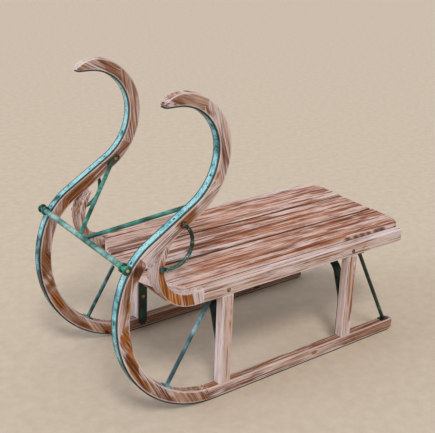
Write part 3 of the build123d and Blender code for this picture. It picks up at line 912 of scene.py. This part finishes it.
# Seat boards, brushed deep along the grain
def board_relief(x, y, seed):
    """Height of the brushed ridges, about -1 to 1."""
    bend = 0.004 * noise.noise(Vector((x * 3, y * 9, seed)))
    broad = noise.noise(Vector((x * 1.8, (y + bend) * 75, seed * 3.1)))
    fine = noise.noise(Vector((x * 4, (y + bend) * 150, seed * 5.7)))
    return clamp(1.25 * broad + 0.7 * fine, -1.0, 1.0)


edge_looks, gap_looks, gap_reach = 0.6, 0.45, 0.1


def board_tint(normal, place):
    """The boards' long side faces, below the rail's top and in the gaps between boards, are painted dark as shade;
    their ends and tops are washed.
    """
    if abs(normal.x) > edge_looks:
        return {"wash": 0.85}
    low_edge = abs(normal.y) > edge_looks and place.z < rail_top
    gap_edge = abs(normal.y) > gap_looks and abs(place.y) < gap_reach and place.z < seat_high.z - board_foot
    # Painted shade in the gaps between boards and in the rabbet
    if low_edge or gap_edge:
        return {"dark": 1.0, "wash": 0.0}
    if normal.z < -0.5:
        return {"wash": 0.2, "stain": 0.4}
    return {"wash": 0.45 + clamp(0.9 * (place.x - 0.02), -0.03, 0.20), "stain": 0.12}


seat_patches = [
    (-0.060, 0.020, 0.160, 0.007, 0, 0.8, 0.25, None),
    (-0.220, 0.050, 0.090, 0.006, 0, 0.6, 0.42, None),
    (-0.300, -0.030, 0.080, 0.010, 0, 0.5, 0.42, None),
    (-0.160, -0.100, 0.150, 0.008, 0, 0.6, 0.3, None),
    (0.100, -0.070, 0.120, 0.006, 0, 0.7, 0.35, None),
    (0.220, -0.110, 0.090, 0.035, 0, None, 0.85, None),
    (-0.050, 0.130, 0.120, 0.005, 0, None, 0.7, None),
    (0.100, 0.115, 0.110, 0.034, 0, 0.2, 0.36, None),
    (-0.110, 0.152, 0.100, 0.004, 0, 0.9, 0.2, None),
    (-0.180, 0.110, 0.050, 0.005, 0, 0.8, 0.3, None),
    (0.040, 0.060, 0.060, 0.010, 0, None, 0.75, None),
]
# A row of dark dashes along the left board's outer edge: painted shade in the gap between the board and the rail
gap_shade_dashes_at = (-0.222, -0.246, -0.268, -0.291, -0.315, -0.337)
seat_patches += [(x, 0.162, 0.009, 0.003, 0, None, 0.0, 1.0) for x in gap_shade_dashes_at]
for index, name in enumerate(("left", "middle", "right")):
    low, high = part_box("seat_board_" + name)
    bm = bmesh.new()
    wear_and_shade = layer(bm, "wear_and_shade")
    relief = layer(bm, "relief")
    bmesh.ops.create_grid(bm, x_segments=board_rows, y_segments=board_columns, size=0.5)
    for vert in bm.verts:
        y = low.y + (vert.co.y + 0.5) * (high.y - low.y)
        nose = nose_centre_x + sqrt(nose_radius**2 - y**2)
        rear = low.x
        outer = abs(y) - (max(abs(low.y), abs(high.y)) - seat_corner)
        if name != "middle" and outer > 0:
            rear += seat_corner - sqrt(max(0.0, seat_corner**2 - outer**2))
        share = vert.co.x + 0.5
        share += (0.5 - 0.5 * cos(pi * share) - share) * end_crowding
        x = rear + (nose - rear) * share
        edge = min(y - low.y, high.y - y, x - rear, nose - x)
        drop = 0.0
        if edge < board_round:
            drop = board_round - sqrt(board_round**2 - (board_round - edge) ** 2)
        height = board_relief(x, y, index + 1)
        vert[relief] = height
        vert[wear_and_shade] = max(0.0, 1.0 - edge / board_round)
        vert.co = (x, y, high.z - drop - relief_depth * (0.5 - 0.5 * height) * (1 - 0.6 * vert[wear_and_shade]))
    edges = [edge for edge in bm.edges if edge.is_boundary]
    centre = (low + high) / 2
    for inset, z in ((0.0, rail_top), (0.0, low.z + board_foot), (board_foot, low.z)):
        verts, edges = grow(bm, edges)
        for vert in verts:
            vert.co.z = z
            vert.co.x += inset if vert.co.x < centre.x else -inset
            vert.co.y += inset if vert.co.y < centre.y else -inset
    bmesh.ops.edgeloop_fill(bm, edges=edges)
    lay_grain(bm, [(0.0, 0, {})], 11 + index, board_tint, seat_patches, up=1)
    finished(bm, "seat_wood_" + name, "seat_wood", "seat_board_" + name)

# Crossbar with its collars, turned as one profile, and a saddle block against each strap
bar_x = bar_high.x - collar_radius
bar_z = (bar_low.z + bar_high.z) / 2
bar_end = bar_high.y
collar_step = (groove_width + collar_width) / 2
light_side = Vector((0.6, 0, 0.8))
bar_slack, collar_slack = 0.0002, 0.001


def collar(y):
    """Profile points of one collar with rounded rims."""
    half, rim = collar_width / 2, collar_radius - collar_round
    first = [(y - half, bar_radius), (y - half, rim), (y - half + collar_round, collar_radius)]
    return first + [(y + half - collar_round, collar_radius), (y + half, rim), (y + half, bar_radius)]


profile = [(-bar_end, 0.0), (-bar_end, bar_radius - bar_round), (-bar_end + bar_round, bar_radius)]
profile += collar(-groove_y - collar_step) + collar(-groove_y + collar_step)
profile += [(y / 1000, bar_radius) for y in range(-160, 161, 10)]
profile += collar(groove_y - collar_step) + collar(groove_y + collar_step)
profile += [(bar_end - bar_round, bar_radius), (bar_end, bar_radius - bar_round), (bar_end, 0.0)]
bm = lathe(profile, (bar_x, 0, bar_z), (0, 1, 0), 32)
for sign in sides.values():
    saddle = bmesh.ops.create_cube(bm, size=1.0)["verts"]
    bmesh.ops.scale(bm, verts=saddle, vec=(saddle_reach, groove_width, saddle_width))
    bmesh.ops.rotate(bm, verts=saddle, cent=(0, 0, 0), matrix=Matrix.Rotation(-radians(bar_angle), 3, "Y"))
    place = Vector((bar_x, sign * groove_y, bar_z)) - ray(radians(bar_angle)) * saddle_shift
    bmesh.ops.translate(bm, verts=saddle, vec=place)
fade = layer(bm, "fade")
# Painted light and shade: the bar's side facing up and forward, towards the lamps, is painted lighter and the rest
# darker
for vert in bm.verts:
    facing = Vector((vert.co.x - bar_x, 0, vert.co.z - bar_z)) / bar_radius
    vert[fade] = 0.45 * max(0.0, facing.dot(light_side)) - 0.2
for face in bm.faces:
    middle = face.calc_center_median()
    away = hypot(middle.x - bar_x, middle.z - bar_z)
    if away > bar_radius + bar_slack or abs(middle.y) > groove_y - collar_step + collar_slack:
        face.material_index = 1
bar = finished(bm, "crossbar_iron", "strap_iron", "crossbar", "bar_iron")
bar.data.materials.append(finishes["collar_iron"])

# Cross irons: flat bars down the posts, leaning in, then bent across under the battens
iron_rise = 90 - iron_lean - iron_elbow
half_steps = [(iron_bend_start - iron_foot, 0), (iron_bend_radius, iron_lean)]
half_steps += [(iron_lean_run, 0), (iron_elbow_radius, iron_elbow)]
iron_start = Vector((runner_mid - runner_width / 2 - iron_thickness / 2, 0, iron_foot))
elbow = trace(iron_start, 90, half_steps, [8, 5, 4, 5])[-1]
iron_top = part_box("batten_middle")[0].z - iron_thickness / 2
slant = (iron_top - elbow.z - iron_shoulder * (1 - cos(radians(iron_rise)))) / sin(radians(iron_rise))
half_steps += [(slant, 0), (iron_shoulder, iron_rise)]
half_counts = [12, 5, 5, 5, 8, 5]
shoulder = trace(iron_start, 90, half_steps, half_counts)[-1]
iron_steps = half_steps + [(2 * shoulder.x, 0)] + half_steps[::-1]
iron_counts = half_counts + [14] + half_counts[::-1]
for end in ("front", "rear"):
    low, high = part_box("cross_iron_" + end)
    place = (low.x + high.x) / 2
    bm = section(oblong(iron_thickness, high.x - low.x), iron_round, iron_spacing)
    sweep(bm, *(trace(iron_start, 90, iron_steps, iron_counts, way * iron_thickness / 2) for way in (-1, 1)))
    for vert in bm.verts:
        vert.co = (place + vert.co.y, vert.co.x, vert.co.z)
    finished(bm, "cross_iron_bar_" + end, "cross_iron", "cross_iron_" + end)

# Rings: a round rod bent to a C, with a flat eye at each end
ring_cuts, tail_cuts = 40, 5
tail_step = Vector((0.003, 0, 0))
top_fade, low_fade = 0.03, 0.014
eye_profile = [(0, 0), (0, 0.0062), (0.0006, 0.0066), (0.0036, 0.0066), (0.0044, 0.0058), (0.0044, 0)]
for side, sign in sides.items():
    low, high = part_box("ring_" + side)
    ring_y = sign * (runner_face + ring_rod + ring_gap)
    eyes = [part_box("ring_bolt_" + name + "_" + side) for name in ("top", "low")]
    eyes = [(a + b) / 2 for a, b in eyes]
    ring_mid = Vector((low.x + ring_radius + ring_rod, ring_y, eyes[1].z + ring_radius))
    first = atan2(eyes[0].z - ring_mid.z, eyes[0].x - ring_mid.x)
    turns = [first + (1.5 * pi - first) * i / ring_cuts for i in range(ring_cuts + 1)]
    points = [ring_mid + ray(turn) * ring_radius for turn in turns]
    points += [points[-1] + tail_step * (i + 1) for i in range(tail_cuts)]
    wobbles = [ring_wobble * noise.noise(Vector((i * 0.7, sign, 3.3))) for i in range(len(points))]
    bm = rod(points, [ring_rod + wobble - ring_wobble for wobble in wobbles], 16)
    for eye in eyes:
        add_part(bm, lathe(eye_profile, (eye.x, sign * runner_face, eye.z), (0, sign, 0)))
    fade = layer(bm, "fade")
    # Darker towards the top and around the low eye
    for vert in bm.verts:
        away = hypot(vert.co.x - eyes[1].x, vert.co.z - eyes[1].z)
        vert[fade] = -1.2 * clamp((vert.co.z - ring_mid.z) / top_fade)
        vert[fade] -= 1.2 * max(0.0, 1.0 - away / low_fade)
    finished(bm, "ring_iron_" + side, "rod_iron", "ring_" + side, "ring_iron")

# Braces and stays keep their made shape and take their paint
for name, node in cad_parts.items():
    if name.startswith(("neck_brace", "stay")):
        node.data.materials.clear()
        # The rear stays take a darker, greener copy of the stay paint; its darkness is painted shade at the sleigh's
        # back
        paint = "rod_iron" if name.startswith("neck") else "stay_dark_iron" if "rear" in name else "stay_iron"
        node.data.materials.append(finishes[paint])

# Bolt heads: 1 where they face outward, sides, slotted or not, their usual finish, and a paint of their own
heads = {
    "rail_bolt_front": (1, 24, True, "bolt_iron", None),
    "rail_bolt_rear": (1, 24, True, "bolt_iron", None),
    "ring_bolt_top": (1, 20, False, "bolt_iron", None),
    "ring_bolt_low": (1, 20, False, "bolt_iron", "stay_dark_iron"),
    "leg_bolt_front": (-1, 24, True, "bolt_brass", None),
    "leg_bolt_rear": (-1, 24, True, "bolt_brass", None),
    "brace_bolt": (-1, 4, False, "bolt_brass", None),
}
head_height = 0.0026
head_radius = 0.0048
shank_radius = 0.0024
slot_floor = 0.0009
slot_half, slot_shoulder = 0.0005, 0.0006
# Distance above the head's seat, and share of its radius
dome = ((0.0, 1), (0.0008, 1), (0.0015, 0.86), (0.0021, 0.62), (0.0025, 0.3), (head_height, 0.0))
for side, sign in sides.items():
    for name, (out, count, slotted, slot, paint) in heads.items():
        low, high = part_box(name + "_" + side)
        middle = (low + high) / 2
        facing = sign * out
        seat = (high.y if facing > 0 else low.y) - facing * head_height
        reach = high.y - low.y - head_height
        profile = [(-reach, 0.0), (-reach, shank_radius), (0.0, shank_radius)]
        profile += [(rise, head_radius * share) for rise, share in dome]
        bm = lathe(profile, (middle.x, seat, middle.z), (0, facing, 0), count)
        if slotted:
            cross = ray(0.6 + 1.1 * len(name) * sign)
            for shift in (-slot_shoulder, -slot_half, slot_half, slot_shoulder):
                cut_across(bm, middle + cross * shift, cross, 1e-7)
            for vert in bm.verts:
                rise = (vert.co.y - seat) * facing
                if rise > slot_floor and abs((vert.co - middle).dot(cross)) < slot_half + 0.00002:
                    vert.co.y = seat + facing * slot_floor
        finished(bm, name + "_head_" + side, slot, name + "_" + side, paint)

# Screws along each strap and in the crossbar's ends: each head's height, radius and finish
strap_screw = (0.0004, 0.0030, 0)
bar_screw = (0.0016, 0.0034, 1)
screw_root = 0.001
for side, sign in sides.items():
    bm = bmesh.new()
    layer(bm, "wear_and_shade")
    strap_line = trace(line_start, 0, line_steps, line_counts, -strap_thickness)
    across = Vector((0, sign * runner_mid, 0))
    spots = []
    for i in strap_screws_at:
        run = (strap_line[i + 1] - strap_line[i - 1]).normalized()
        spots.append((strap_line[i] + across, Vector((run.z, 0, -run.x)), strap_screw))
    spots.append((Vector((bar_x, sign * bar_end, bar_z)), Vector((0, sign, 0)), bar_screw))
    for spot, out, (rise, wide, finish) in spots:
        profile = [(-screw_root, 0), (-screw_root, wide), (0, wide), (rise, wide * 0.7), (rise, 0)]
        for face in add_part(bm, lathe(profile, spot, out, 16)):
            face.material_index = finish
    screws = finished(bm, "strap_screws_" + side, "strap_iron", None, "collar_iron")
    screws.data.materials.append(finishes["bolt_brass"])

# Floor, backdrop, lights and camera
floor_mesh = bpy.data.meshes.new("floor")
bm = bmesh.new()
bmesh.ops.create_grid(bm, x_segments=1, y_segments=1, size=12.0)
bm.to_mesh(floor_mesh)
bm.free()
floor = placed("floor", floor_mesh)
s = Shader(bpy.data.materials.new("floor_concrete"))
cloud = s.noise(s.node("ShaderNodeTexCoord").outputs["Object"], 40.0, 4)
concrete = s.ramp(cloud, {0.3: "#BDB1A1", 0.7: "#C6BBAC"})
floor_mesh.materials.append(s.finish(concrete, 0.75, cloud, 0.0002, specular=0.2))

studio.world = bpy.data.worlds.new("studio")
s = Shader(studio.world)
sky = s.node("ShaderNodeBackground", {"Color": "#ECE8E4", "Strength": 0.66})
s.node("ShaderNodeOutputWorld", {"Surface": sky.outputs["Background"]})

# Where each lamp shines from, its spread in degrees, its strength and its colour
lamps = {
    "key": ((0.37, 0.69, 1.0), 16, 1.75, "#FFF6EC"),
    "window": ((1.0, -0.35, 0.45), 40, 1.5, "#E9F0FF"),
}
for name, (source, spread, strength, colour) in lamps.items():
    lamp = bpy.data.lights.new(name, "SUN")
    lamp.angle, lamp.energy, lamp.color = radians(spread), strength, linear(colour)[:3]
    placed(name, lamp).rotation_euler = (-Vector(source)).to_track_quat("-Z", "Y").to_euler()

camera_place = Vector((1.1102, 1.4176, 1.0632))
camera_yaw = radians(233.150)
camera_pitch = radians(19.284)
camera_roll = radians(2.067)
camera_focal_pixels = 832.3
camera_drop = -0.10
photo_width = 435
film_width = 36
yaw_x, yaw_y, flat = cos(camera_yaw), sin(camera_yaw), cos(camera_pitch)
forward = Vector((yaw_x * flat, yaw_y * flat, -sin(camera_pitch)))
level = Vector((yaw_y, -yaw_x, 0))
upward = level.cross(forward)
right = level * cos(camera_roll) + upward * sin(camera_roll)
above = upward * cos(camera_roll) - level * sin(camera_roll)
eye = bpy.data.cameras.new("camera")
eye.sensor_width = film_width
eye.lens = film_width * camera_focal_pixels / photo_width
eye.shift_y = camera_drop
camera = placed("camera", eye)
camera.matrix_world = Matrix((right, above, -forward)).transposed().to_4x4()
camera.location = camera_place
studio.camera = camera
studio.view_settings.view_transform = "Standard"
